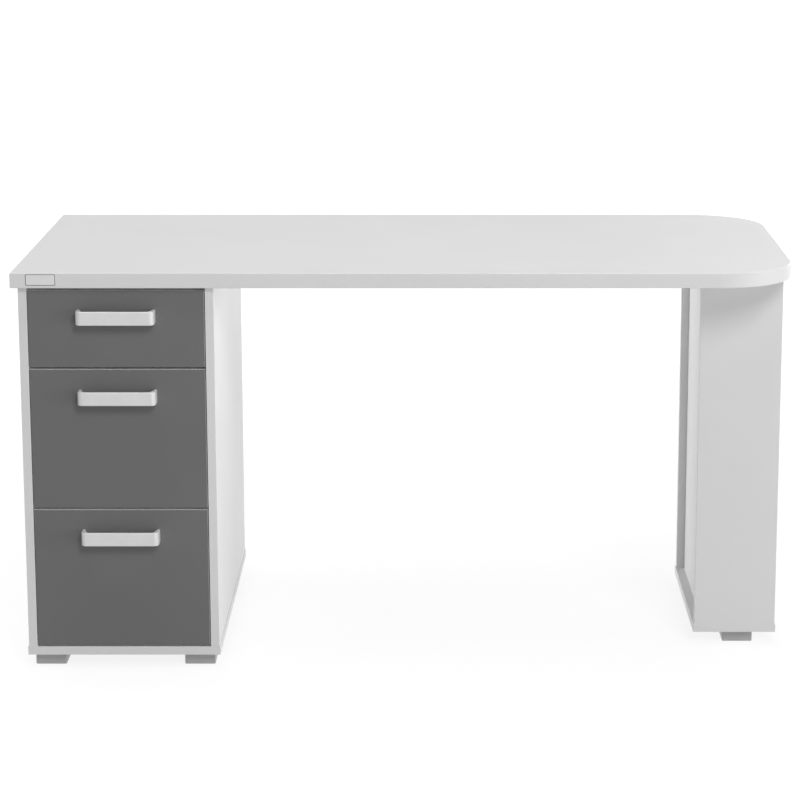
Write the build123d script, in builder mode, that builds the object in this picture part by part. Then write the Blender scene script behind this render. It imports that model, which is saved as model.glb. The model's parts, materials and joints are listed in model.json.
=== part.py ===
"""Writing desk with a three-drawer pedestal on the left and a box leg under a rounded right end.

Millimetres. +X to the right, +Y to the back, +Z up. The origin is on the floor under the middle of the
whole outline, handles included. The drawers pull towards -Y.
"""

import os

from build123d import *

# Desktop
DESK_LENGTH = 1450.0
DESK_DEPTH = 700.0
DESK_HEIGHT = 760.0
TOP_THICKNESS = 28.0
CORNER_RADIUS = 145.0
EDGING_THICKNESS = 2.0
EDGING_ROUND = 1.4

# Boards of the pedestal and the leg
BOARD = 16.0
BOARD_ROUND = 0.8
BASE_PROUD = 1.8
FOOT_HEIGHT = 25.0

# Pedestal
PEDESTAL_INSET = 12.0
PEDESTAL_WIDTH = 360.0
PEDESTAL_SETBACK = 14.0
PEDESTAL_DEPTH = 660.0
RAIL_WIDTH = 90.0
RAIL_SETBACK = 24.0

# Leg
LEG_INSET = 11.0
LEG_WIDTH = 156.0
LEG_SETBACK = 152.0
LEG_DEPTH = 398.0
LEG_RECESS = 16.0

# Feet
FOOT_WIDTH = 58.0
FOOT_DEPTH = 58.0
FOOT_SIDE_INSET = 9.5
FOOT_SETBACK = 20.0
FOOT_ROUND = 2.0

# Drawer fronts, listed from the floor up
FRONT_THICKNESS = 16.0
FRONT_SIDE_GAP = 1.6
FRONT_GAP = 4.0
BOTTOM_REVEAL = 3.0
TALL_FRONT = 264.5
SHORT_FRONT = 144.0
FRONT_ROUND = 0.8

# Drawer boxes
BOX_BOARD = 12.0
BOX_CHAMFER = 0.6
BOX_LENGTH = 550.0
BOX_LIFT = 18.0
TALL_BOX = 200.0
SHORT_BOX = 100.0
TONGUE = 5.0
FIT = 0.1
BOTTOM_SHEET = 3.2
BOTTOM_LIFT = 12.0
BACK_HOUSING = 4.0
BACK_INSET = 20.0
BACK_LOWER = 8.0

# Bow handles
HANDLE_LENGTH = 145.0
HANDLE_HEIGHT = 26.0
HANDLE_REACH = 28.0
HANDLE_BAR = 5.0
HANDLE_ARM = 5.5
HANDLE_FLARE = 6.0
HANDLE_HOLES = 128.0
HANDLE_DROP = {TALL_FRONT: 50.5, SHORT_FRONT: 47.5}
HANDLE_OUTER_ROUND = 10.0
HANDLE_INNER_ROUND = 4.0
HANDLE_EDGE_ROUND = 2.2
HANDLE_BOSS = 5.0

# Roller runners: section sizes count from the pedestal side's inner face and the channel's underside
RUNNER_SPACE = 12.5
STEEL = 1.2
CHANNEL_WIDTH = 10.5
CHANNEL_HEIGHT = 27.2
RAIL_FLANGE_NEAR = 2.5
RAIL_FLANGE_TOP = 23.8
BEND = 0.4
ROLLER_RADIUS = 10.4
ROLLER_WIDTH = 7.0
ROLLER_RUN = 0.3
ROLLER_CHAMFER = 0.6
PIN_RADIUS = 3.0
PIN_FIT = 0.05
PIN_HEAD_RADIUS = 4.2
PIN_HEAD = 0.8
PIN_FROM_END = 14.0
CHANNEL_START = 3.0
SIDE_PLAY = 0.7

# Fasteners
DOWEL_RADIUS = 3.95
DOWEL_HOLE = 4.0
DOWEL_IN_FACE = 12.0
DOWEL_IN_EDGE = 18.0
DOWEL_CHAMFER = 0.8
HOLE_SPARE = 1.0
BASE_SCREW_NECK = 3.5
BASE_SCREW_HEAD = 5.0
BASE_SCREW_THREAD = 2.5
BASE_SCREW_BITE = 34.0
WOOD_SCREW = 2.0
WOOD_SCREW_HEAD = 4.0
WOOD_SCREW_BITE = 18.0
SCREW_CLEARANCE = 2.3
SCREW_FIT = 0.05
FOOT_SCREW_SEAT = 12.0
FOOT_SCREW_HEAD = 3.0
FOOT_SCREW_BITE = 13.0
COUNTERBORE = 5.0
RUNNER_SCREW_HEAD = 3.4
RUNNER_SCREW_BITE = 12.0
HANDLE_SCREW_HEAD = 2.6
HANDLE_SCREW_BITE = 10.0
COUNTERSINK_ANGLE = 90.0
PAN_ROUND = 0.8
CROSS_ARM = 1.0
CROSS_DEPTH = 1.0

# Where fasteners stand, from the middle of what they go through or from its ends
UPRIGHT_SCREW_INSET = 130.0
BACK_SCREW_SPREAD = 80.0
LEG_SIDE_SCREW_SPREAD = 80.0
LEG_FACE_SCREW_SPREAD = 42.0
RAIL_SCREW_SPREAD = 100.0
LEG_TOP_SCREW_ACROSS = 25.0
LEG_TOP_SCREW_ALONG = 120.0
RUNNER_SCREW_INSET = 60.0
RAIL_DOWEL_INSET = 22.0
UPRIGHT_DOWEL_Z = (150.0, 390.0, 630.0)

# Places worked out from the sizes above
HANDLE_BEYOND = HANDLE_REACH - PEDESTAL_SETBACK
TOP_LEFT = -DESK_LENGTH / 2
TOP_RIGHT = DESK_LENGTH / 2
TOP_FRONT = (HANDLE_BEYOND - DESK_DEPTH) / 2
TOP_MIDDLE_Y = TOP_FRONT + DESK_DEPTH / 2
TOP_UNDERSIDE = DESK_HEIGHT - TOP_THICKNESS
BASE_TOP = FOOT_HEIGHT + BOARD

PEDESTAL_LEFT = TOP_LEFT + PEDESTAL_INSET
PEDESTAL_RIGHT = PEDESTAL_LEFT + PEDESTAL_WIDTH
PEDESTAL_MIDDLE = (PEDESTAL_LEFT + PEDESTAL_RIGHT) / 2
PEDESTAL_FRONT = TOP_FRONT + PEDESTAL_SETBACK
PEDESTAL_REAR = PEDESTAL_FRONT + PEDESTAL_DEPTH
OPENING = PEDESTAL_WIDTH - 2 * BOARD
FRONT_REAR = PEDESTAL_FRONT + FRONT_THICKNESS

LEG_RIGHT = TOP_RIGHT - LEG_INSET
LEG_LEFT = LEG_RIGHT - LEG_WIDTH
LEG_FRONT = TOP_FRONT + LEG_SETBACK
LEG_REAR = LEG_FRONT + LEG_DEPTH
LEG_INNER_FACE = LEG_LEFT + LEG_RECESS
LEG_BODY_MIDDLE = (LEG_INNER_FACE + LEG_RIGHT) / 2
LEG_MIDDLE_Y = (LEG_FRONT + LEG_REAR) / 2

BOX_OUTSIDE = OPENING - 2 * RUNNER_SPACE
BOX_INSIDE = BOX_OUTSIDE - 2 * BOX_BOARD
BOX_REAR = FRONT_REAR + BOX_LENGTH
CHANNEL_FRONT = FRONT_REAR + CHANNEL_START
CHANNEL_REAR = CHANNEL_FRONT + BOX_LENGTH
ROLLER_HEIGHT = STEEL + ROLLER_RUN + ROLLER_RADIUS
SIDES = (-1, 1)

# Each drawer: name, underside of its front, height of its front, height of its box
DRAWERS = []
front_bottom = BASE_TOP + BOTTOM_REVEAL
for drawer_name, front_height, box_height in (
    ("bottom", TALL_FRONT, TALL_BOX),
    ("middle", TALL_FRONT, TALL_BOX),
    ("top", SHORT_FRONT, SHORT_BOX),
):
    DRAWERS.append((drawer_name, front_bottom, front_height, box_height))
    front_bottom += front_height + FRONT_GAP

# Fastener lines worked out from the sizes above
UPRIGHT_SCREW_Y = (PEDESTAL_FRONT + UPRIGHT_SCREW_INSET, PEDESTAL_REAR - UPRIGHT_SCREW_INSET)
BACK_SCREW_X = (PEDESTAL_MIDDLE - BACK_SCREW_SPREAD, PEDESTAL_MIDDLE + BACK_SCREW_SPREAD)
LEG_SIDE_SCREW_Y = (LEG_MIDDLE_Y - LEG_SIDE_SCREW_SPREAD, LEG_MIDDLE_Y + LEG_SIDE_SCREW_SPREAD)
LEG_FACE_SCREW_X = (LEG_BODY_MIDDLE - LEG_FACE_SCREW_SPREAD, LEG_BODY_MIDDLE + LEG_FACE_SCREW_SPREAD)
RAIL_SCREW_X = (PEDESTAL_MIDDLE - RAIL_SCREW_SPREAD, PEDESTAL_MIDDLE + RAIL_SCREW_SPREAD)
LEG_TOP_SCREW_X = (LEG_BODY_MIDDLE - LEG_TOP_SCREW_ACROSS, LEG_BODY_MIDDLE + LEG_TOP_SCREW_ACROSS)
LEG_TOP_SCREW_Y = (LEG_MIDDLE_Y - LEG_TOP_SCREW_ALONG, LEG_MIDDLE_Y + LEG_TOP_SCREW_ALONG)
RUNNER_SCREW_Y = (
    CHANNEL_FRONT + RUNNER_SCREW_INSET,
    (CHANNEL_FRONT + CHANNEL_REAR) / 2,
    CHANNEL_REAR - RUNNER_SCREW_INSET,
)
DOWN = (0, 0, -1)

os.makedirs("parts", exist_ok=True)


def save(piece, name):
    """Label a finished piece and write it."""
    piece.part.label = name
    export_step(piece.part, f"parts/{name}.step")


def block(x, y, z):
    """Add a box between a low and a high value on each axis."""
    with Locations((x[0], y[0], z[0])):
        Box(x[1] - x[0], y[1] - y[0], z[1] - z[0], align=(Align.MIN,) * 3)


def drill(radius, depth, points, outward):
    """Drill blind holes at points on a face that looks outward."""
    with Locations(*[Plane(origin=point, z_dir=outward) for point in points]):
        Hole(radius, depth)


def rod(radius, start, end):
    """Add a round bar from start to end."""
    run = Vector(*end) - Vector(*start)
    with Locations(Plane(origin=start, z_dir=run)):
        Cylinder(radius, run.length, align=(Align.CENTER, Align.CENTER, Align.MIN))


def cut_cross(head_radius, points, outward):
    """Cut a driver's cross, half as wide as the head, into screw heads that look outward."""
    sunk = (Align.CENTER, Align.CENTER, Align.MAX)
    with Locations(*[Plane(origin=point, z_dir=outward) for point in points]):
        Box(head_radius, CROSS_ARM, CROSS_DEPTH, align=sunk, mode=Mode.SUBTRACT)
        Box(CROSS_ARM, head_radius, CROSS_DEPTH, align=sunk, mode=Mode.SUBTRACT)


def inward_x(side, distance):
    """X at a distance from the inner face of the left (-1) or right (1) pedestal side."""
    return PEDESTAL_MIDDLE + side * (OPENING / 2 - distance)


def span_x(side, near, far):
    """Low and high X of a strip between two distances from a pedestal side's inner face."""
    return sorted((inward_x(side, near), inward_x(side, far)))


# Where fasteners go


def rail_spans():
    """Front and rear Y of the two rails under the desktop."""
    front = PEDESTAL_FRONT + RAIL_SETBACK
    rear = PEDESTAL_REAR - BOARD
    return {"front": (front, front + RAIL_WIDTH), "rear": (rear - RAIL_WIDTH, rear)}


def rail_dowel_points(side):
    """Dowels between the rails and one pedestal side, on the side's inner face."""
    height = TOP_UNDERSIDE - BOARD / 2
    points = []
    for low, high in rail_spans().values():
        for y in (low + RAIL_DOWEL_INSET, high - RAIL_DOWEL_INSET):
            points.append((inward_x(side, 0), y, height))
    return points


def back_dowel_points(side):
    """Dowels between the pedestal back and one pedestal side."""
    return [(inward_x(side, 0), PEDESTAL_REAR - BOARD / 2, z) for z in UPRIGHT_DOWEL_Z]


def leg_dowel_points(end):
    """Dowels on the inner face of the leg's front (-1) or back (1) panel."""
    face = LEG_MIDDLE_Y + end * (LEG_DEPTH / 2 - BOARD)
    uprights = (LEG_INNER_FACE + BOARD / 2, LEG_RIGHT - BOARD / 2)
    points = [(x, face, z) for x in uprights for z in UPRIGHT_DOWEL_Z]
    points += [(x, face, TOP_UNDERSIDE - BOARD / 2) for x in LEG_TOP_SCREW_X]
    return points


def pedestal_base_screws():
    """Screws up through the pedestal base into its sides and back, on the base's underside."""
    sides = [(inward_x(side, -BOARD / 2), y, FOOT_HEIGHT) for side in SIDES for y in UPRIGHT_SCREW_Y]
    back = [(x, PEDESTAL_REAR - BOARD / 2, FOOT_HEIGHT) for x in BACK_SCREW_X]
    return sides + back


def leg_base_screws():
    """Screws up through the leg base into its four upright panels, on the base's underside."""
    sides = (LEG_INNER_FACE + BOARD / 2, LEG_RIGHT - BOARD / 2)
    faces = (LEG_FRONT + BOARD / 2, LEG_REAR - BOARD / 2)
    points = [(x, y, FOOT_HEIGHT) for x in sides for y in LEG_SIDE_SCREW_Y]
    points += [(x, y, FOOT_HEIGHT) for x in LEG_FACE_SCREW_X for y in faces]
    return points


def rail_screws(name):
    """Screws up through one rail into the desktop, on the rail's underside."""
    low, high = rail_spans()[name]
    return [(x, (low + high) / 2, TOP_UNDERSIDE - BOARD) for x in RAIL_SCREW_X]


def leg_top_screws():
    """Screws up through the leg's top panel into the desktop."""
    return [(x, y, TOP_UNDERSIDE - BOARD) for x in LEG_TOP_SCREW_X for y in LEG_TOP_SCREW_Y]


def channel_underside(front_z):
    """Height of the underside of a drawer's runner channel."""
    return front_z + BOX_LIFT - STEEL


def runner_screw_points(side, front_z):
    """Screws that hold one runner channel to its pedestal side."""
    height = channel_underside(front_z) + ROLLER_HEIGHT
    return [(inward_x(side, 0), y, height) for y in RUNNER_SCREW_Y]


def handle_middle(front_z, front_height):
    """Height of the middle of a drawer's handle."""
    return front_z + front_height - HANDLE_DROP[front_height]


def handle_hole_points(front_z, front_height):
    """Handle screw axes, on the face of a drawer front."""
    height = handle_middle(front_z, front_height)
    return [(PEDESTAL_MIDDLE + side * HANDLE_HOLES / 2, PEDESTAL_FRONT, height) for side in SIDES]


def foot_places():
    """Name and middle of each foot, seen from above."""
    across = PEDESTAL_WIDTH / 2 - FOOT_SIDE_INSET - FOOT_WIDTH / 2
    along = FOOT_SETBACK + FOOT_DEPTH / 2
    places = {}
    for side, word in zip(SIDES, ("left", "right")):
        places[f"pedestal_foot_front_{word}"] = (PEDESTAL_MIDDLE + side * across, PEDESTAL_FRONT + along)
        places[f"pedestal_foot_rear_{word}"] = (PEDESTAL_MIDDLE + side * across, PEDESTAL_REAR - along)
    places["leg_foot_front"] = (LEG_BODY_MIDDLE, LEG_FRONT + along)
    places["leg_foot_rear"] = (LEG_BODY_MIDDLE, LEG_REAR - along)
    return places


# Desktop


def top_outline(inset):
    """Outline of the desktop, drawn in by inset: square at the left, rounded at the right."""
    with BuildSketch(Plane((0, TOP_MIDDLE_Y, TOP_UNDERSIDE))) as outline:
        Rectangle(DESK_LENGTH - 2 * inset, DESK_DEPTH - 2 * inset)
        fillet(outline.vertices().group_by(Axis.X)[-1], CORNER_RADIUS - inset)
    return outline.sketch


def make_desktop():
    with BuildPart() as desktop:
        extrude(top_outline(EDGING_THICKNESS), amount=TOP_THICKNESS)
        into = WOOD_SCREW_BITE + HOLE_SPARE
        screws = rail_screws("front") + rail_screws("rear") + leg_top_screws()
        drill(WOOD_SCREW + SCREW_FIT, into, [(x, y, TOP_UNDERSIDE) for x, y, z in screws], DOWN)
    save(desktop, "desktop")


def make_desktop_edging():
    with BuildPart() as edging:
        extrude(top_outline(0), amount=TOP_THICKNESS)
        rims = edging.faces().filter_by(Axis.Z).edges()
        fillet(rims, EDGING_ROUND)
        extrude(top_outline(EDGING_THICKNESS), amount=TOP_THICKNESS, mode=Mode.SUBTRACT)
    save(edging, "desktop_edging")


# Pedestal carcass


def make_pedestal_side(side, name):
    with BuildPart() as panel:
        block(span_x(side, -BOARD, 0), (PEDESTAL_FRONT, PEDESTAL_REAR), (BASE_TOP, TOP_UNDERSIDE))
        fillet(panel.edges().filter_by(Axis.Z), BOARD_ROUND)
        inward = (-side, 0, 0)
        drill(DOWEL_HOLE, DOWEL_IN_FACE, rail_dowel_points(side) + back_dowel_points(side), inward)
        foot_holes = [(inward_x(side, -BOARD / 2), y, BASE_TOP) for y in UPRIGHT_SCREW_Y]
        drill(BASE_SCREW_THREAD + SCREW_FIT, BASE_SCREW_BITE + HOLE_SPARE, foot_holes, DOWN)
        for _, front_z, _, _ in DRAWERS:
            screws = runner_screw_points(side, front_z)
            drill(WOOD_SCREW + SCREW_FIT, RUNNER_SCREW_BITE, screws, inward)
    save(panel, name)


def make_base(name, x, y, screws, feet):
    """Base panel with countersunk screw holes and pilot holes for the feet."""
    with BuildPart() as base:
        block((x[0] - BASE_PROUD, x[1] + BASE_PROUD), y, (FOOT_HEIGHT, BASE_TOP))
        fillet(base.edges().filter_by(Axis.Z), BOARD_ROUND)
        with Locations(*[Plane(origin=point, z_dir=DOWN) for point in screws]):
            CounterSinkHole(
                BASE_SCREW_NECK + SCREW_FIT,
                BASE_SCREW_HEAD + FIT,
                counter_sink_angle=COUNTERSINK_ANGLE,
            )
        pilots = [(foot_x, foot_y, FOOT_HEIGHT) for foot_x, foot_y in feet]
        drill(WOOD_SCREW + SCREW_FIT, FOOT_SCREW_BITE + HOLE_SPARE, pilots, DOWN)
    save(base, name)


def make_pedestal_back():
    across = (inward_x(-1, 0), inward_x(1, 0))
    with BuildPart() as back:
        block(across, (PEDESTAL_REAR - BOARD, PEDESTAL_REAR), (BASE_TOP, TOP_UNDERSIDE))
        for side in SIDES:
            drill(DOWEL_HOLE, DOWEL_IN_EDGE, back_dowel_points(side), (side, 0, 0))
        screw_holes = [(x, PEDESTAL_REAR - BOARD / 2, BASE_TOP) for x in BACK_SCREW_X]
        drill(BASE_SCREW_THREAD + SCREW_FIT, BASE_SCREW_BITE + HOLE_SPARE, screw_holes, DOWN)
    save(back, "pedestal_back")


def make_rail(name):
    """Flat rail between the pedestal sides, under the desktop."""
    across = (inward_x(-1, 0), inward_x(1, 0))
    low, high = rail_spans()[name]
    with BuildPart() as rail:
        block(across, (low, high), (TOP_UNDERSIDE - BOARD, TOP_UNDERSIDE))
        for side in SIDES:
            dowels = [point for point in rail_dowel_points(side) if low < point[1] < high]
            drill(DOWEL_HOLE, DOWEL_IN_EDGE, dowels, (side, 0, 0))
        with Locations(*[Plane(origin=point, z_dir=DOWN) for point in rail_screws(name)]):
            CounterSinkHole(SCREW_CLEARANCE, WOOD_SCREW_HEAD + FIT, counter_sink_angle=COUNTERSINK_ANGLE)
    save(rail, f"pedestal_{name}_rail")


# Leg


def make_leg_face(end, name):
    """Front (-1) or back (1) panel of the leg, across its full width."""
    face = LEG_MIDDLE_Y + end * (LEG_DEPTH / 2 - BOARD)
    outside = LEG_MIDDLE_Y + end * LEG_DEPTH / 2
    with BuildPart() as panel:
        block((LEG_LEFT, LEG_RIGHT), sorted((face, outside)), (BASE_TOP, TOP_UNDERSIDE))
        fillet(panel.edges().filter_by(Axis.Z), BOARD_ROUND)
        drill(DOWEL_HOLE, DOWEL_IN_FACE, leg_dowel_points(end), (0, -end, 0))
        screw_holes = [(x, outside - end * BOARD / 2, BASE_TOP) for x in LEG_FACE_SCREW_X]
        drill(BASE_SCREW_THREAD + SCREW_FIT, BASE_SCREW_BITE + HOLE_SPARE, screw_holes, DOWN)
    save(panel, name)


def make_leg_side(x, name):
    """Panel between the leg's front and back panels."""
    inside = (LEG_FRONT + BOARD, LEG_REAR - BOARD)
    middle = sum(x) / 2
    with BuildPart() as panel:
        block(x, inside, (BASE_TOP, TOP_UNDERSIDE))
        for end in SIDES:
            dowels = [point for point in leg_dowel_points(end) if x[0] < point[0] < x[1]]
            drill(DOWEL_HOLE, DOWEL_IN_EDGE, dowels, (0, end, 0))
        screw_holes = [(middle, y, BASE_TOP) for y in LEG_SIDE_SCREW_Y]
        drill(BASE_SCREW_THREAD + SCREW_FIT, BASE_SCREW_BITE + HOLE_SPARE, screw_holes, DOWN)
    save(panel, name)


def make_leg_top():
    """Panel that closes the leg under the desktop and carries the desktop screws."""
    across = (LEG_INNER_FACE + BOARD, LEG_RIGHT - BOARD)
    inside = (LEG_FRONT + BOARD, LEG_REAR - BOARD)
    with BuildPart() as panel:
        block(across, inside, (TOP_UNDERSIDE - BOARD, TOP_UNDERSIDE))
        for end in SIDES:
            dowels = [point for point in leg_dowel_points(end) if across[0] < point[0] < across[1]]
            drill(DOWEL_HOLE, DOWEL_IN_EDGE, dowels, (0, end, 0))
        with Locations(*[Plane(origin=point, z_dir=DOWN) for point in leg_top_screws()]):
            CounterSinkHole(SCREW_CLEARANCE, WOOD_SCREW_HEAD + FIT, counter_sink_angle=COUNTERSINK_ANGLE)
    save(panel, "leg_top_panel")


# Feet


def make_foot(name, x, y):
    """Block foot with a counterbored screw hole."""
    with BuildPart() as foot:
        with Locations((x, y, 0)):
            Box(FOOT_WIDTH, FOOT_DEPTH, FOOT_HEIGHT, align=(Align.CENTER, Align.CENTER, Align.MIN))
        fillet(foot.edges().filter_by(Axis.Z), FOOT_ROUND)
        chamfer(foot.faces().sort_by(Axis.Z)[0].edges(), HOLE_SPARE)
        with Locations(Plane(origin=(x, y, 0), z_dir=DOWN)):
            CounterBoreHole(SCREW_CLEARANCE, COUNTERBORE, FOOT_SCREW_SEAT)
    save(foot, name)


# Shared fasteners


def make_dowels():
    """Glued wooden dowels between the upright panels and what they carry."""
    with BuildPart() as dowels:
        for side in SIDES:
            for x, y, z in rail_dowel_points(side) + back_dowel_points(side):
                start = (x + side * (DOWEL_IN_FACE - HOLE_SPARE), y, z)
                rod(DOWEL_RADIUS, start, (x - side * (DOWEL_IN_EDGE - HOLE_SPARE), y, z))
        for end in SIDES:
            for x, y, z in leg_dowel_points(end):
                start = (x, y + end * (DOWEL_IN_FACE - HOLE_SPARE), z)
                rod(DOWEL_RADIUS, start, (x, y - end * (DOWEL_IN_EDGE - HOLE_SPARE), z))
        chamfer(dowels.edges().filter_by(GeomType.CIRCLE), DOWEL_CHAMFER)
    save(dowels, "panel_dowels")


def make_base_screws():
    """Long screws with countersunk heads, from the base panels up into the uprights."""
    heads = pedestal_base_screws() + leg_base_screws()
    with BuildPart() as screws:
        for x, y, z in heads:
            rod(BASE_SCREW_NECK, (x, y, z), (x, y, z + BOARD))
            rod(BASE_SCREW_THREAD, (x, y, z + BOARD), (x, y, z + BOARD + BASE_SCREW_BITE))
            head = BASE_SCREW_HEAD - BASE_SCREW_NECK
            with Locations((x, y, z)):
                Cone(BASE_SCREW_HEAD, BASE_SCREW_NECK, head, align=(Align.CENTER, Align.CENTER, Align.MIN))
        cut_cross(BASE_SCREW_HEAD, heads, DOWN)
    save(screws, "base_screws")


def make_desktop_screws():
    """Countersunk screws up through the rails and the leg's top panel into the desktop."""
    heads = rail_screws("front") + rail_screws("rear") + leg_top_screws()
    with BuildPart() as screws:
        for x, y, z in heads:
            rod(WOOD_SCREW, (x, y, z), (x, y, z + BOARD + WOOD_SCREW_BITE))
            head = WOOD_SCREW_HEAD - WOOD_SCREW
            with Locations((x, y, z)):
                Cone(WOOD_SCREW_HEAD, WOOD_SCREW, head, align=(Align.CENTER, Align.CENTER, Align.MIN))
        cut_cross(WOOD_SCREW_HEAD, heads, DOWN)
    save(screws, "desktop_screws")


def make_foot_screws():
    """Pan-headed screws up through the feet into the base panels."""
    heads = [(x, y, FOOT_SCREW_SEAT - FOOT_SCREW_HEAD) for x, y in foot_places().values()]
    with BuildPart() as screws:
        for x, y, z in heads:
            rod(WOOD_SCREW_HEAD, (x, y, z), (x, y, FOOT_SCREW_SEAT))
            rod(WOOD_SCREW, (x, y, FOOT_SCREW_SEAT), (x, y, FOOT_HEIGHT + FOOT_SCREW_BITE))
        fillet(screws.faces().group_by(Axis.Z)[0].edges(), PAN_ROUND)
        cut_cross(WOOD_SCREW_HEAD, heads, DOWN)
    save(screws, "foot_screws")


def make_runner_screws():
    """Flat-headed screws through the runner channels into the pedestal sides."""
    with BuildPart() as screws:
        for _, front_z, _, _ in DRAWERS:
            for side in SIDES:
                heads = []
                for x, y, z in runner_screw_points(side, front_z):
                    heads.append((x - side * (STEEL - FIT), y, z))
                    rod(WOOD_SCREW, (x + side * (RUNNER_SCREW_BITE - HOLE_SPARE), y, z), (x, y, z))
                    rod(RUNNER_SCREW_HEAD, (x, y, z), heads[-1])
                cut_cross(RUNNER_SCREW_HEAD, heads, (-side, 0, 0))
    save(screws, "runner_screws")


# Roller runners


def make_channels(name, front_z):
    """Pair of C channels on the pedestal sides, each with a riveted pin for its front roller."""
    low = channel_underside(front_z)
    lip = CHANNEL_WIDTH
    top = CHANNEL_HEIGHT
    section = (
        (0, 0), (lip, 0), (lip, STEEL), (STEEL, STEEL),
        (STEEL, top - STEEL), (lip, top - STEEL), (lip, top), (0, top),
    )
    with BuildPart() as channels:
        with BuildSketch(Plane.XZ.offset(-CHANNEL_REAR)) as profile:
            for side in SIDES:
                with BuildLine():
                    Polyline([(inward_x(side, u), low + z) for u, z in section], close=True)
                make_face()
            fillet(profile.vertices(), BEND)
        extrude(amount=BOX_LENGTH)
        for side in SIDES:
            drill(RUNNER_SCREW_HEAD + FIT, STEEL, runner_screw_points(side, front_z), (-side, 0, 0))
            head = STEEL + SIDE_PLAY + ROLLER_WIDTH + ROLLER_RUN
            pin = (CHANNEL_FRONT + PIN_FROM_END, low + ROLLER_HEIGHT)
            rod(PIN_RADIUS, (inward_x(side, STEEL), *pin), (inward_x(side, head), *pin))
            rod(PIN_HEAD_RADIUS, (inward_x(side, head), *pin), (inward_x(side, head + PIN_HEAD), *pin))
    save(channels, f"{name}_cabinet_runners")


def make_drawer_rails(name, front_z):
    """Pair of Z rails under the drawer sides, each with a riveted pin for its rear roller."""
    low = channel_underside(front_z)
    web = RUNNER_SPACE - STEEL
    under = RUNNER_SPACE + BOX_BOARD
    near = RAIL_FLANGE_NEAR
    top = RAIL_FLANGE_TOP
    section = (
        (under, 0), (under, STEEL), (RUNNER_SPACE, STEEL), (RUNNER_SPACE, top),
        (near, top), (near, top - STEEL), (web, top - STEEL), (web, 0),
    )
    with BuildPart() as rails:
        with BuildSketch(Plane.XZ.offset(-BOX_REAR)) as profile:
            for side in SIDES:
                with BuildLine():
                    Polyline([(inward_x(side, u), low + z) for u, z in section], close=True)
                make_face()
            fillet(profile.vertices(), BEND)
        extrude(amount=BOX_LENGTH - CHANNEL_START)
        for side in SIDES:
            head = web - SIDE_PLAY - ROLLER_WIDTH - ROLLER_RUN
            pin = (BOX_REAR - PIN_FROM_END, low + ROLLER_HEIGHT)
            rod(PIN_RADIUS, (inward_x(side, web), *pin), (inward_x(side, head), *pin))
            rod(PIN_HEAD_RADIUS, (inward_x(side, head), *pin), (inward_x(side, head - PIN_HEAD), *pin))
    save(rails, f"{name}_drawer_runners")


def make_rollers(name, near, y, front_z):
    """Pair of nylon rollers on one axis, starting at a distance from the pedestal sides."""
    height = channel_underside(front_z) + ROLLER_HEIGHT
    far = near + ROLLER_WIDTH
    with BuildPart() as rollers:
        for side in SIDES:
            rod(ROLLER_RADIUS, (inward_x(side, near), y, height), (inward_x(side, far), y, height))
        chamfer(rollers.edges().filter_by(GeomType.CIRCLE), ROLLER_CHAMFER)
        ends = [(inward_x(side, near), y, height) for side in SIDES]
        drill(PIN_RADIUS + PIN_FIT, 2 * ROLLER_WIDTH, ends, (1, 0, 0))
    save(rollers, name)


# Drawers


def make_front(name, front_z, front_height, box_height):
    """Drawer front, grooved at the back for the box sides and the bottom sheet."""
    width = OPENING / 2 - FRONT_SIDE_GAP
    groove_y = FRONT_REAR - TONGUE
    groove_z = front_z + BOX_LIFT
    with BuildPart() as front:
        block(
            (PEDESTAL_MIDDLE - width, PEDESTAL_MIDDLE + width),
            (PEDESTAL_FRONT, FRONT_REAR),
            (front_z, front_z + front_height),
        )
        fillet(front.faces().sort_by(Axis.Y)[0].edges(), FRONT_ROUND)
        drill(SCREW_CLEARANCE, 2 * FRONT_THICKNESS, handle_hole_points(front_z, front_height), (0, -1, 0))
        side_middle = RUNNER_SPACE + BOX_BOARD / 2
        with Locations(*[(inward_x(side, side_middle), groove_y, groove_z) for side in SIDES]):
            Box(
                BOX_BOARD + FIT,
                TONGUE + HOLE_SPARE,
                box_height + FIT,
                align=(Align.CENTER, Align.MIN, Align.MIN),
                mode=Mode.SUBTRACT,
            )
        with Locations((PEDESTAL_MIDDLE, groove_y, groove_z + BOTTOM_LIFT)):
            Box(
                BOX_INSIDE + BOX_BOARD,
                TONGUE + HOLE_SPARE,
                BOTTOM_SHEET + FIT,
                align=(Align.CENTER, Align.MIN, Align.MIN),
                mode=Mode.SUBTRACT,
            )
    save(front, f"{name}_drawer_front")


def make_box_side(side, name, front_z, box_height):
    """Drawer side, grooved for the bottom sheet and housed for the back."""
    low = front_z + BOX_LIFT
    inner = inward_x(side, RUNNER_SPACE + BOX_BOARD)
    with BuildPart() as panel:
        block(
            span_x(side, RUNNER_SPACE, RUNNER_SPACE + BOX_BOARD),
            (FRONT_REAR - TONGUE + FIT, BOX_REAR),
            (low, low + box_height),
        )
        chamfer(panel.edges().filter_by(Axis.Y), BOX_CHAMFER)
        with Locations((inner, BOX_REAR, low + BOTTOM_LIFT)):
            Box(
                2 * TONGUE,
                2 * BOX_LENGTH + 4 * TONGUE,
                BOTTOM_SHEET + FIT,
                align=(Align.CENTER, Align.CENTER, Align.MIN),
                mode=Mode.SUBTRACT,
            )
        with Locations((inner, BOX_REAR - BACK_INSET + FIT / 2, low + BOTTOM_LIFT)):
            Box(
                2 * BACK_HOUSING,
                BOX_BOARD + FIT,
                box_height,
                align=(Align.CENTER, Align.MAX, Align.MIN),
                mode=Mode.SUBTRACT,
            )
    word = "left" if side < 0 else "right"
    save(panel, f"{name}_drawer_{word}_side")


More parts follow.
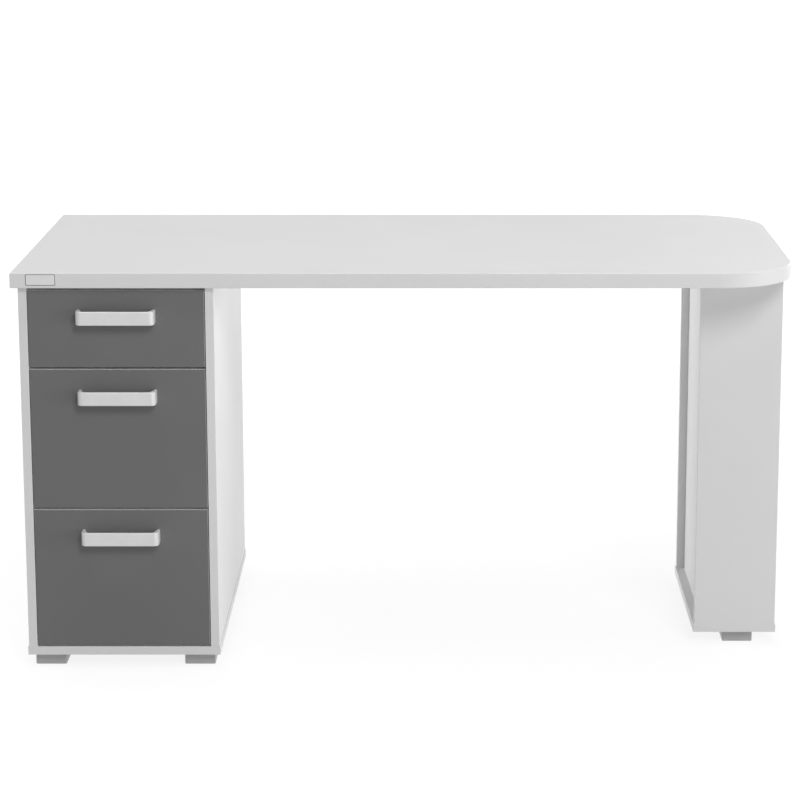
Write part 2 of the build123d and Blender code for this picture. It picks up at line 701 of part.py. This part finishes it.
def make_box_back(name, front_z, box_height):
    """Drawer back, standing on the bottom sheet between the housings of the sides."""
    half = BOX_INSIDE / 2 + BACK_HOUSING - FIT
    low = front_z + BOX_LIFT + BOTTOM_LIFT + BOTTOM_SHEET + FIT
    with BuildPart() as back:
        block(
            (PEDESTAL_MIDDLE - half, PEDESTAL_MIDDLE + half),
            (BOX_REAR - BACK_INSET - BOX_BOARD, BOX_REAR - BACK_INSET),
            (low, front_z + BOX_LIFT + box_height - BACK_LOWER),
        )
    save(back, f"{name}_drawer_back")


def make_box_bottom(name, front_z):
    """Thin sheet held in the grooves of the sides and the front."""
    half = BOX_INSIDE / 2 + TONGUE - FIT
    low = front_z + BOX_LIFT + BOTTOM_LIFT
    with BuildPart() as bottom:
        block(
            (PEDESTAL_MIDDLE - half, PEDESTAL_MIDDLE + half),
            (FRONT_REAR - TONGUE + FIT, BOX_REAR),
            (low + FIT / 2, low + FIT / 2 + BOTTOM_SHEET),
        )
    save(bottom, f"{name}_drawer_bottom")


def make_handle(name, front_z, front_height):
    """Flat bow handle: a bar on two arms that widen towards it, with a screw boss inside each arm."""
    outer = HANDLE_LENGTH / 2
    inner = outer - HANDLE_ARM
    neck = inner - HANDLE_FLARE
    reach = HANDLE_REACH
    low = handle_middle(front_z, front_height) - HANDLE_HEIGHT / 2
    with BuildPart() as handle:
        with BuildSketch(Plane((PEDESTAL_MIDDLE, PEDESTAL_FRONT, low))):
            with BuildLine():
                outside = FilletPolyline(
                    (-outer, 0), (-outer, -reach), (outer, -reach), (outer, 0), radius=HANDLE_OUTER_ROUND
                )
                inside = FilletPolyline(
                    (-inner, 0), (-neck, HANDLE_BAR - reach), (neck, HANDLE_BAR - reach), (inner, 0),
                    radius=HANDLE_INNER_ROUND,
                )
                Line(outside @ 0, inside @ 0)
                Line(outside @ 1, inside @ 1)
            make_face()
        extrude(amount=HANDLE_HEIGHT)
        rims = handle.faces().filter_by(Axis.Z).edges()
        fillet([rim for rim in rims if rim.center().Y < PEDESTAL_FRONT - FIT], HANDLE_EDGE_ROUND)
        holes = handle_hole_points(front_z, front_height)
        for x, y, z in holes:
            rod(HANDLE_BOSS, (x, y, z), (x, y - reach + HANDLE_BAR, z))
        drill(WOOD_SCREW + SCREW_FIT, HANDLE_SCREW_BITE + HOLE_SPARE, holes, (0, 1, 0))
    save(handle, f"{name}_drawer_handle")


def make_handle_screws(name, front_z, front_height):
    """Machine screws from inside the drawer, through the front into the handle's bosses."""
    heads = []
    with BuildPart() as screws:
        for x, y, z in handle_hole_points(front_z, front_height):
            heads.append((x, FRONT_REAR + HANDLE_SCREW_HEAD, z))
            rod(WOOD_SCREW, (x, FRONT_REAR, z), (x, y - HANDLE_SCREW_BITE, z))
            rod(WOOD_SCREW_HEAD, (x, FRONT_REAR, z), heads[-1])
        fillet(screws.faces().group_by(Axis.Y)[-1].edges(), PAN_ROUND)
        cut_cross(WOOD_SCREW_HEAD, heads, (0, 1, 0))
    save(screws, f"{name}_drawer_handle_screws")


def make_drawer(name, front_z, front_height, box_height):
    make_front(name, front_z, front_height, box_height)
    for side in SIDES:
        make_box_side(side, name, front_z, box_height)
    make_box_back(name, front_z, box_height)
    make_box_bottom(name, front_z)
    make_handle(name, front_z, front_height)
    make_handle_screws(name, front_z, front_height)
    make_channels(name, front_z)
    make_drawer_rails(name, front_z)
    make_rollers(f"{name}_cabinet_rollers", STEEL + SIDE_PLAY, CHANNEL_FRONT + PIN_FROM_END, front_z)
    rear_near = RUNNER_SPACE - STEEL - SIDE_PLAY - ROLLER_WIDTH
    make_rollers(f"{name}_drawer_rollers", rear_near, BOX_REAR - PIN_FROM_END, front_z)


feet = foot_places()
make_desktop()
make_desktop_edging()
make_pedestal_side(-1, "pedestal_left_side")
make_pedestal_side(1, "pedestal_right_side")
make_base(
    "pedestal_base",
    (PEDESTAL_LEFT, PEDESTAL_RIGHT),
    (PEDESTAL_FRONT, PEDESTAL_REAR),
    pedestal_base_screws(),
    [place for name, place in feet.items() if name.startswith("pedestal")],
)
make_pedestal_back()
make_rail("front")
make_rail("rear")
make_leg_face(-1, "leg_front_panel")
make_leg_face(1, "leg_back_panel")
make_leg_side((LEG_INNER_FACE, LEG_INNER_FACE + BOARD), "leg_inner_panel")
make_leg_side((LEG_RIGHT - BOARD, LEG_RIGHT), "leg_outer_panel")
make_base(
    "leg_base",
    (LEG_LEFT, LEG_RIGHT),
    (LEG_FRONT, LEG_REAR),
    leg_base_screws(),
    [place for name, place in feet.items() if name.startswith("leg")],
)
make_leg_top()
for foot_name, (foot_x, foot_y) in feet.items():
    make_foot(foot_name, foot_x, foot_y)
make_dowels()
make_base_screws()
make_desktop_screws()
make_foot_screws()
make_runner_screws()
for drawer in DRAWERS:
    make_drawer(*drawer)
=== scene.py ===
"""Looks of the writing desk: the finish of every piece, a bare plate, the floor, the lights and the camera.

Metres, in the model's own frame: +X to the right, +Y to the back, +Z up, the floor at Z = 0.
"""

import json
import math

import bmesh
import bpy
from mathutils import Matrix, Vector


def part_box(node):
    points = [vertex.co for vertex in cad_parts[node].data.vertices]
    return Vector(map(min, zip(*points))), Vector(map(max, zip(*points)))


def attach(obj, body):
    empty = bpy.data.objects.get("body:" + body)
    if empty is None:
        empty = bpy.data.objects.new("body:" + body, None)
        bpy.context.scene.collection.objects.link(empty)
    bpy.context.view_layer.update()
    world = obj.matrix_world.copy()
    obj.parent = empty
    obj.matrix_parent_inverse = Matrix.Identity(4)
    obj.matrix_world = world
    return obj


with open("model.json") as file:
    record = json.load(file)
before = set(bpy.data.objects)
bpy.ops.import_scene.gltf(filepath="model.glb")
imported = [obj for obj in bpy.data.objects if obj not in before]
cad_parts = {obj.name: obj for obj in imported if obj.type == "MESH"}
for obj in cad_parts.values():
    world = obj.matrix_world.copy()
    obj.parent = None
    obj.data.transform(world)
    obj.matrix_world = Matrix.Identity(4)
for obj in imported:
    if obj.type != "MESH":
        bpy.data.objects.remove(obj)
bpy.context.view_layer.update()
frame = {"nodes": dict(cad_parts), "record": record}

# Camera: a long lens, well above the desktop and looking slightly down
CAMERA_PLACE = (0.0597, -5.016, 1.5955)
CAMERA_PITCH = math.radians(11.52)
CAMERA_LENS = 116.68
CAMERA_SENSOR = 36.0
CAMERA_SHIFT = (-0.0472, -0.08)

# Soft boxes: name, place, width, height, watts
LIGHT_TARGET = Vector((0.0, 0.0, 0.4))
SOFT_BOXES = (
    ("overhead", (0.0, -0.2, 7.4), 4.0, 4.0, 192.0),
    ("key", (1.77, -5.45, 4.42), 2.0, 2.0, 134.0),
    ("front_right", (4.5, -5.36, 0.85), 5.0, 1.5, 53.0),
    ("right", (6.85, -1.46, 0.85), 5.0, 1.5, 116.0),
    ("rear_right", (3.5, 6.06, 0.85), 5.0, 1.5, 165.0),
    ("left", (-6.06, 3.5, 0.85), 5.0, 1.5, 285.0),
)
AMBIENT = 0.24
BACKGROUND_WHITE = 1.0

# Floor
FLOOR_HALF = 40.0
FLOOR_COLOR = (0.6, 0.6, 0.6, 1.0)
FLOOR_SEEN_COLOR = (0.2, 0.2, 0.2, 1.0)
FLOOR_SEEN_GLOW = (0.85, 1.0)
FLOOR_FADE = (1.2, 3.0)

# Bare plate on the front edge of the desktop
PLATE_WIDTH = 0.055
PLATE_HEIGHT = 0.0212
PLATE_CORNER = 0.0018
PLATE_FROM_LEFT = 0.029
PLATE_ABOVE_UNDERSIDE = 0.0052
PLATE_BACK = 0.0006
PLATE_FACE = 0.0004
PLATE_RIM = 0.0013
PLATE_CORNER_STEPS = 6
PLATE_SOFT_SHARE = 0.45
PLATE_SOFT_STEPS = 3


# Materials
RANGE_SOCKETS = ("From Min", "From Max", "To Min", "To Max")
# Cosine between a face and its rounded-off normal: at an edge, and on the flat
EDGE_COSINES = (0.8, 0.99)


class Finish:
    """One procedural material: a Principled shader whose sockets are varied by textures in object space."""

    def __init__(self, name, color, roughness, settings=()):
        self.material = bpy.data.materials.new(name)
        self.material.use_nodes = True
        self.nodes = self.material.node_tree.nodes
        self.links = self.material.node_tree.links
        self.shader = self.nodes["Principled BSDF"]
        self.shader.inputs["Base Color"].default_value = (*color, 1.0)
        self.shader.inputs["Roughness"].default_value = roughness
        for socket, value in dict(settings).items():
            self.shader.inputs[socket].default_value = value
        self.object_space = self.nodes.new("ShaderNodeTexCoord")
        self.place = self.object_space.outputs["Object"]

    def node(self, kind, **inputs):
        """A new node with its input sockets set or linked."""
        made = self.nodes.new("ShaderNode" + kind)
        for socket, value in inputs.items():
            self.feed(made.inputs[socket.replace("_", " ")], value)
        return made

    def feed(self, socket, value):
        """Link a socket to another, or set it to a plain value."""
        if isinstance(value, bpy.types.NodeSocket):
            self.links.new(value, socket)
        else:
            socket.default_value = value

    def stretched(self, stretch):
        """Object coordinates, scaled on each axis."""
        scaled = self.node("Mapping", Vector=self.place, Scale=stretch)
        return scaled.outputs["Vector"]

    def noise(self, size, stretch=(1.0, 1.0, 1.0), detail=3.0):
        """Grain of about the given size in metres, from 0 to 1."""
        made = self.node("TexNoise", Vector=self.stretched(stretch), Scale=1.0 / size, Detail=detail)
        return made.outputs["Fac"]

    def span(self, value, low, high, start=0.3, end=0.7):
        """Carry a grain value over to the range from low to high."""
        made = self.node("MapRange", Value=value)
        for socket, number in zip(RANGE_SOCKETS, (start, end, low, high)):
            made.inputs[socket].default_value = number
        return made.outputs["Result"]

    def blend(self, share, first, second):
        """Colour that goes from first to second as share goes from 0 to 1."""
        made = self.nodes.new("ShaderNodeMix")
        made.data_type = "RGBA"
        self.feed(made.inputs["Factor"], share)
        for socket, color in (("A", first), ("B", second)):
            pick = [one for one in made.inputs if one.name == socket and one.type == "RGBA"][0]
            self.feed(pick, color if isinstance(color, bpy.types.NodeSocket) else (*color, 1.0))
        return [one for one in made.outputs if one.type == "RGBA"][0]

    def mottled(self, grain, first, second):
        """Colour that wanders between first and second with a grain."""
        return self.blend(self.span(grain, 0.0, 1.0), first, second)

    def color(self, value):
        self.links.new(value, self.shader.inputs["Base Color"])

    def roughness(self, value):
        self.links.new(value, self.shader.inputs["Roughness"])

    def bump(self, height, depth):
        """Relief of the given depth in metres."""
        made = self.node("Bump", Height=height, Distance=depth, Strength=1.0)
        self.links.new(made.outputs["Normal"], self.shader.inputs["Normal"])

    def facing(self, axis):
        """How far a face looks along an axis of its piece, from -1 to 1."""
        parts = self.node("SeparateXYZ", Vector=self.object_space.outputs["Normal"])
        return parts.outputs[axis]

    def edges(self, width):
        """1 on the rounded edges of a piece, 0 on its flat faces."""
        rounded = self.node("Bevel", Radius=width)
        flat = self.nodes.new("ShaderNodeNewGeometry")
        cosine = self.node("VectorMath")
        cosine.operation = "DOT_PRODUCT"
        self.links.new(rounded.outputs["Normal"], cosine.inputs[0])
        self.links.new(flat.outputs["Normal"], cosine.inputs[1])
        return self.span(cosine.outputs["Value"], 1.0, 0.0, *EDGE_COSINES)


def grey(level):
    """Neutral colour of the given level."""
    return (level, level, level)


def white_board():
    """White melamine face with a fine pearled grain, a touch duller along its edges."""
    finish = Finish("white_board", grey(0.8), 0.58)
    pearl = finish.noise(0.0011)
    clouds = finish.noise(0.22, detail=2.0)
    face = finish.mottled(clouds, grey(0.79), grey(0.81))
    finish.color(finish.blend(finish.edges(0.0007), face, grey(0.76)))
    finish.roughness(finish.span(pearl, 0.52, 0.64))
    finish.bump(pearl, 0.00004)
    return finish.material


def white_edging():
    """Satin plastic strip with faint lines drawn along it."""
    finish = Finish("white_edging", grey(0.79), 0.36)
    drawn = finish.noise(0.0009, stretch=(0.02, 0.02, 1.0))
    clouds = finish.noise(0.15, detail=2.0)
    finish.color(finish.mottled(clouds, grey(0.78), grey(0.80)))
    finish.roughness(finish.span(drawn, 0.32, 0.42))
    finish.bump(drawn, 0.00002)
    return finish.material


def grey_board():
    """Matt grey face on the front of a white board, with a pale strip round its edges."""
    finish = Finish("grey_board", grey(0.184), 0.5, {"Specular IOR Level": 0.15})
    grain = finish.noise(0.0008)
    clouds = finish.noise(0.18, detail=2.0)
    face = finish.mottled(clouds, grey(0.180), grey(0.190))
    front = finish.span(finish.facing("Y"), 1.0, 0.0, -0.8, -0.6)
    finish.color(finish.blend(front, grey(0.8), face))
    finish.roughness(finish.span(grain, 0.45, 0.56))
    finish.bump(grain, 0.00003)
    return finish.material


def box_board():
    """Pale foil on the drawer sides, with fine lines along the board."""
    finish = Finish("box_board", (0.74, 0.74, 0.73), 0.5)
    lines = finish.noise(0.0016, stretch=(1.0, 0.015, 1.0))
    clouds = finish.noise(0.12, detail=2.0)
    face = finish.mottled(clouds, (0.72, 0.72, 0.71), (0.75, 0.75, 0.74))
    finish.color(finish.blend(finish.edges(0.0006), face, (0.68, 0.68, 0.67)))
    finish.roughness(finish.span(lines, 0.44, 0.58))
    finish.bump(lines, 0.00004)
    return finish.material


def hardboard():
    """Thin fibre sheet: pale lacquer on top, brown screen-marked fibre underneath."""
    finish = Finish("hardboard", (0.74, 0.73, 0.70), 0.5)
    fibre = finish.noise(0.0025, stretch=(1.0, 0.3, 1.0), detail=6.0)
    screen = finish.node("TexWave", Vector=finish.place, Scale=110.0, Distortion=0.6)
    lacquer = finish.mottled(fibre, (0.72, 0.71, 0.68), (0.76, 0.75, 0.72))
    brown = finish.mottled(fibre, (0.17, 0.095, 0.05), (0.28, 0.17, 0.09))
    under = finish.span(finish.facing("Z"), 1.0, 0.0, -0.6, 0.6)
    finish.color(finish.blend(under, lacquer, brown))
    finish.roughness(finish.span(under, 0.45, 0.8, 0.0, 1.0))
    relief = finish.node("Math")
    relief.operation = "MULTIPLY"
    finish.links.new(screen.outputs["Fac"], relief.inputs[0])
    finish.links.new(under, relief.inputs[1])
    finish.bump(relief.outputs["Value"], 0.0002)
    return finish.material


def satin_metal():
    """Satin silver coat on metal, with fine brushing along the handle."""
    finish = Finish("satin_metal", grey(0.78), 0.4, {"Metallic": 0.15})
    brushed = finish.noise(0.0006, stretch=(0.03, 1.0, 1.0))
    clouds = finish.noise(0.03, detail=2.0)
    finish.color(finish.mottled(clouds, grey(0.76), grey(0.80)))
    finish.roughness(finish.span(brushed, 0.34, 0.48))
    finish.bump(brushed, 0.00002)
    return finish.material


def silver_plastic():
    """Silver-grey moulded plastic with a fine spark-eroded skin and small flakes."""
    finish = Finish("silver_plastic", grey(0.52), 0.42, {"Metallic": 0.05})
    skin = finish.noise(0.0005)
    flakes = finish.node("TexVoronoi", Vector=finish.place, Scale=2200.0)
    middles = finish.span(flakes.outputs["Distance"], 1.0, 0.0, 0.1, 0.6)
    finish.color(finish.blend(middles, grey(0.48), grey(0.56)))
    finish.roughness(finish.span(skin, 0.36, 0.5))
    finish.bump(skin, 0.00004)
    return finish.material


def coated_steel():
    """White powder coat with a slight orange-peel surface."""
    finish = Finish("coated_steel", (0.80, 0.80, 0.78), 0.35)
    peel = finish.noise(0.0022, detail=1.5)
    finish.color(finish.blend(finish.edges(0.0004), (0.80, 0.80, 0.78), (0.70, 0.70, 0.69)))
    finish.roughness(finish.span(peel, 0.30, 0.42))
    finish.bump(peel, 0.00008)
    return finish.material


def nylon():
    """Natural nylon, slightly milky."""
    milky = {"Subsurface Weight": 0.15, "Subsurface Radius": (0.002, 0.002, 0.0015)}
    finish = Finish("nylon", (0.83, 0.82, 0.77), 0.38, milky)
    flow = finish.noise(0.004, detail=2.0)
    finish.color(finish.mottled(flow, (0.80, 0.79, 0.74), (0.85, 0.84, 0.80)))
    finish.roughness(finish.span(flow, 0.32, 0.46))
    finish.bump(flow, 0.00003)
    return finish.material


def zinc_steel():
    """Bright zinc plate, slightly cloudy."""
    finish = Finish("zinc_steel", (0.62, 0.63, 0.66), 0.3, {"Metallic": 1.0})
    cloudy = finish.noise(0.0012)
    finish.color(finish.mottled(cloudy, (0.55, 0.56, 0.60), (0.68, 0.69, 0.70)))
    finish.roughness(finish.span(cloudy, 0.22, 0.42))
    finish.bump(cloudy, 0.00002)
    return finish.material


def beech():
    """Plain beech with short dark flecks."""
    finish = Finish("beech", (0.55, 0.35, 0.19), 0.6)
    rings = finish.noise(0.004, stretch=(0.2, 0.2, 1.0))
    flecks = finish.noise(0.0009, stretch=(0.2, 0.2, 1.0), detail=1.0)
    wood = finish.mottled(rings, (0.50, 0.31, 0.16), (0.60, 0.40, 0.23))
    finish.color(finish.blend(finish.span(flecks, 0.0, 1.0, 0.62, 0.72), wood, (0.33, 0.18, 0.08)))
    finish.roughness(finish.span(rings, 0.52, 0.68))
    finish.bump(flecks, 0.00005)
    return finish.material


FINISHES = {
    make.__name__: make()
    for make in (
        white_board, white_edging, grey_board, box_board, hardboard, satin_metal,
        silver_plastic, coated_steel, nylon, zinc_steel, beech,
    )
}
for subpart in frame["record"]["subparts"]:
    surface = frame["nodes"][subpart["node"]].data
    surface.materials.clear()
    surface.materials.append(FINISHES[subpart["material_slot"]])


# Pieces that only the looks need


def add_object(name, data):
    """Put a new object in the scene."""
    made = bpy.data.objects.new(name, data)
    bpy.context.scene.collection.objects.link(made)
    return made


def add_piece(name, body, slot, mesh):
    """Put a new mesh in the scene, moving with a body and finished like a material slot."""
    piece = add_object(name, mesh)
    mesh.materials.append(FINISHES[slot])
    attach(piece, body)


def plate_mesh(low, width, height, thickness, corner):
    """Thin plate with rounded corners and a softened rim, its back on the plane of the low corner."""
    shape = bmesh.new()
    middle = Vector((low.x + width / 2, low.y, low.z + height / 2))
    outline = []
    for side_x, side_z, start in ((1, 1, 0), (-1, 1, 90), (-1, -1, 180), (1, -1, 270)):
        centre = middle + Vector((side_x * (width / 2 - corner), 0, side_z * (height / 2 - corner)))
        for step in range(PLATE_CORNER_STEPS + 1):
            angle = math.radians(start + 90 * step / PLATE_CORNER_STEPS)
            outline.append(centre + corner * Vector((math.cos(angle), 0, math.sin(angle))))
    back = shape.faces.new([shape.verts.new(point) for point in outline])
    solid = bmesh.ops.extrude_face_region(shape, geom=[back])
    moved = [one for one in solid["geom"] if isinstance(one, bmesh.types.BMVert)]
    bmesh.ops.translate(shape, verts=moved, vec=(0, -thickness, 0))
    bmesh.ops.recalc_face_normals(shape, faces=shape.faces)
    rim = [edge for edge in shape.edges if all(vert in moved for vert in edge.verts)]
    bmesh.ops.bevel(
        shape,
        geom=rim,
        offset=thickness * PLATE_SOFT_SHARE,
        segments=PLATE_SOFT_STEPS,
        profile=0.5,
        affect="EDGES",
    )
    mesh = bpy.data.meshes.new("plate")
    shape.to_mesh(mesh)
    shape.free()
    return mesh


def add_bare_plate():
    """Blank plate on the desktop's front edge: a back in the dark grey board finish, whose rim round a
    bright face is painted shadow standing in for the shade line round the plate.
    """
    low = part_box("desktop_edging")[0] + Vector((PLATE_FROM_LEFT, 0.0, PLATE_ABOVE_UNDERSIDE))
    back = plate_mesh(low, PLATE_WIDTH, PLATE_HEIGHT, PLATE_BACK, PLATE_CORNER)
    # Painted shadow: the back is finished dark grey so that its rim shows as a shade line round the plate's
    # face
    add_piece("bare_plate_back_painted_shadow", "desk", "grey_board", back)
    face_low = low + Vector((PLATE_RIM, -PLATE_BACK, PLATE_RIM))
    face_size = (PLATE_WIDTH - 2 * PLATE_RIM, PLATE_HEIGHT - 2 * PLATE_RIM)
    face = plate_mesh(face_low, *face_size, PLATE_FACE, PLATE_CORNER - PLATE_RIM / 2)
    add_piece("bare_plate_face", "desk", "satin_metal", face)


add_bare_plate()


# Floor, light and camera


def seen_directly(nodes, links):
    """1 on rays from the camera, from reflections and through glass, 0 on rays that only carry light."""
    path = nodes.new("ShaderNodeLightPath")
    total = path.outputs["Is Camera Ray"]
    for name in ("Is Glossy Ray", "Is Transmission Ray"):
        either = nodes.new("ShaderNodeMath")
        either.operation = "MAXIMUM"
        links.new(total, either.inputs[0])
        links.new(path.outputs[name], either.inputs[1])
        total = either.outputs["Value"]
    return total


def make_floor():
    """Wide pale floor that keeps the object's shadow and fades to white away from it."""
    mesh = bpy.data.meshes.new("floor")
    corners = [(FLOOR_HALF * x, FLOOR_HALF * y, 0.0) for x, y in ((-1, -1), (1, -1), (1, 1), (-1, 1))]
    mesh.from_pydata(corners, [], [(0, 1, 2, 3)])
    floor = add_object("floor", mesh)
    material = bpy.data.materials.new("floor")
    material.use_nodes = True
    nodes = material.node_tree.nodes
    links = material.node_tree.links
    nodes.remove(nodes["Principled BSDF"])
    plain = nodes.new("ShaderNodeBsdfDiffuse")
    plain.inputs["Color"].default_value = FLOOR_COLOR
    seen = nodes.new("ShaderNodeBsdfDiffuse")
    seen.inputs["Color"].default_value = FLOOR_SEEN_COLOR
    distance = nodes.new("ShaderNodeVectorMath")
    distance.operation = "LENGTH"
    links.new(nodes.new("ShaderNodeTexCoord").outputs["Object"], distance.inputs[0])
    fade = nodes.new("ShaderNodeMapRange")
    links.new(distance.outputs["Value"], fade.inputs["Value"])
    for name, number in zip(RANGE_SOCKETS, FLOOR_FADE + FLOOR_SEEN_GLOW):
        fade.inputs[name].default_value = number
    glow = nodes.new("ShaderNodeEmission")
    links.new(fade.outputs["Result"], glow.inputs["Strength"])
    lifted = nodes.new("ShaderNodeAddShader")
    links.new(seen.outputs[0], lifted.inputs[0])
    links.new(glow.outputs[0], lifted.inputs[1])
    choice = nodes.new("ShaderNodeMixShader")
    links.new(seen_directly(nodes, links), choice.inputs[0])
    links.new(plain.outputs[0], choice.inputs[1])
    links.new(lifted.outputs[0], choice.inputs[2])
    links.new(choice.outputs[0], nodes["Material Output"].inputs["Surface"])
    mesh.materials.append(material)


def make_world():
    """Even light from all round, with a white background."""
    world = bpy.data.worlds.new("studio")
    bpy.context.scene.world = world
    world.use_nodes = True
    nodes = world.node_tree.nodes
    links = world.node_tree.links
    light = nodes["Background"]
    light.inputs["Color"].default_value = (1.0, 1.0, 1.0, 1.0)
    light.inputs["Strength"].default_value = AMBIENT
    white = nodes.new("ShaderNodeBackground")
    white.inputs["Color"].default_value = (1.0, 1.0, 1.0, 1.0)
    white.inputs["Strength"].default_value = BACKGROUND_WHITE
    choice = nodes.new("ShaderNodeMixShader")
    links.new(seen_directly(nodes, links), choice.inputs[0])
    links.new(light.outputs[0], choice.inputs[1])
    links.new(white.outputs[0], choice.inputs[2])
    links.new(choice.outputs[0], nodes["World Output"].inputs["Surface"])


def make_soft_box(name, place, width, height, watts):
    """Rectangular lamp that looks at the middle of the desk and stays out of the picture."""
    lamp = bpy.data.lights.new(name, "AREA")
    lamp.shape = "RECTANGLE"
    lamp.size = width
    lamp.size_y = height
    lamp.energy = watts
    box = add_object(name, lamp)
    box.location = place
    box.rotation_euler = (LIGHT_TARGET - Vector(place)).to_track_quat("-Z", "Y").to_euler()
    box.visible_camera = False


def make_camera():
    """Camera square to the front of the desk."""
    lens = bpy.data.cameras.new("camera")
    lens.sensor_width = CAMERA_SENSOR
    lens.lens = CAMERA_LENS
    lens.shift_x, lens.shift_y = CAMERA_SHIFT
    camera = add_object("camera", lens)
    camera.location = CAMERA_PLACE
    camera.rotation_euler = (math.pi / 2 - CAMERA_PITCH, 0.0, 0.0)
    bpy.context.scene.camera = camera


make_floor()
make_world()
for soft_box in SOFT_BOXES:
    make_soft_box(*soft_box)
make_camera()
bpy.context.scene.view_settings.view_transform = "Standard"
